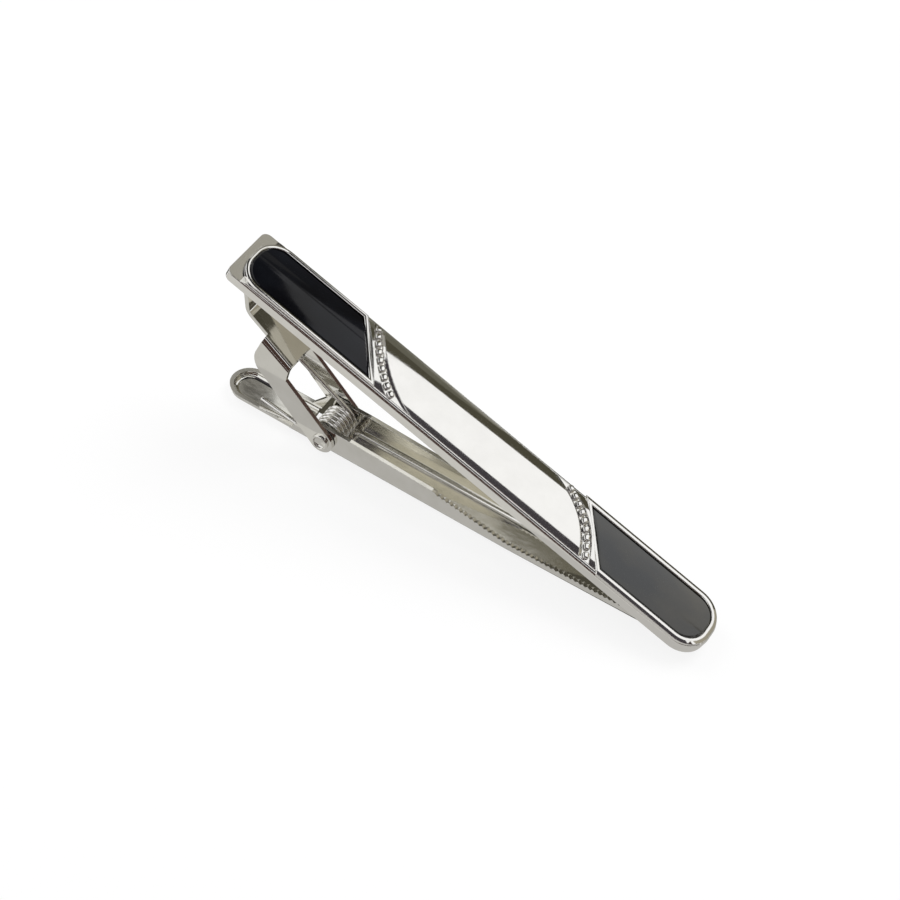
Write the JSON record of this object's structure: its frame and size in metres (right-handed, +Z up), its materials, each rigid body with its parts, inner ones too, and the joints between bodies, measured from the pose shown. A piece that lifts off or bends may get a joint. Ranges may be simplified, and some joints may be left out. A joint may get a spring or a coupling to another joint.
{
  "type": "tie clip",
  "caption": "Polished tie clip: a long bar with two enamel fields and a crowned middle, and a sprung toothed jaw lever hinged behind it.",
  "frame": {"origin": "middle of the jaw lever's flat back, on which the clip lies", "axes": "+X along the lever towards the jaw's tip, +Z up from the lever's back towards the bar, +Y across the clip"},
  "size_m": [0.0577, 0.007, 0.0195],
  "materials": {
    "plated_bar": "mirror-polished rhodium-tone plating",
    "plated_sheet": "bright plated sheet steel",
    "spring_wire": "bright spring wire",
    "black_enamel": "glossy black enamel",
    "grey_enamel": "glossy charcoal grey enamel"
  },
  "bodies": {
    "lever": {"jaw_lever": "plated_sheet"},
    "clip": {"front_bar": "plated_bar", "black_inlay": "black_enamel", "grey_inlay": "grey_enamel", "hinge_bracket": "plated_sheet", "hinge_pin": "plated_sheet", "torsion_spring": "spring_wire"}
  },
  "joints": [
    {"name": "jaw_hinge", "type": "hinge", "parent": "lever", "child": "clip", "pos_m": [-0.0142, 0, 0.0018], "axis": [0, -1, 0], "range_deg": [0, 28], "stiffness_Nm_per_rad": 0.02, "springref_deg": -68.75, "deforming": ["torsion_spring"]}
  ]
}
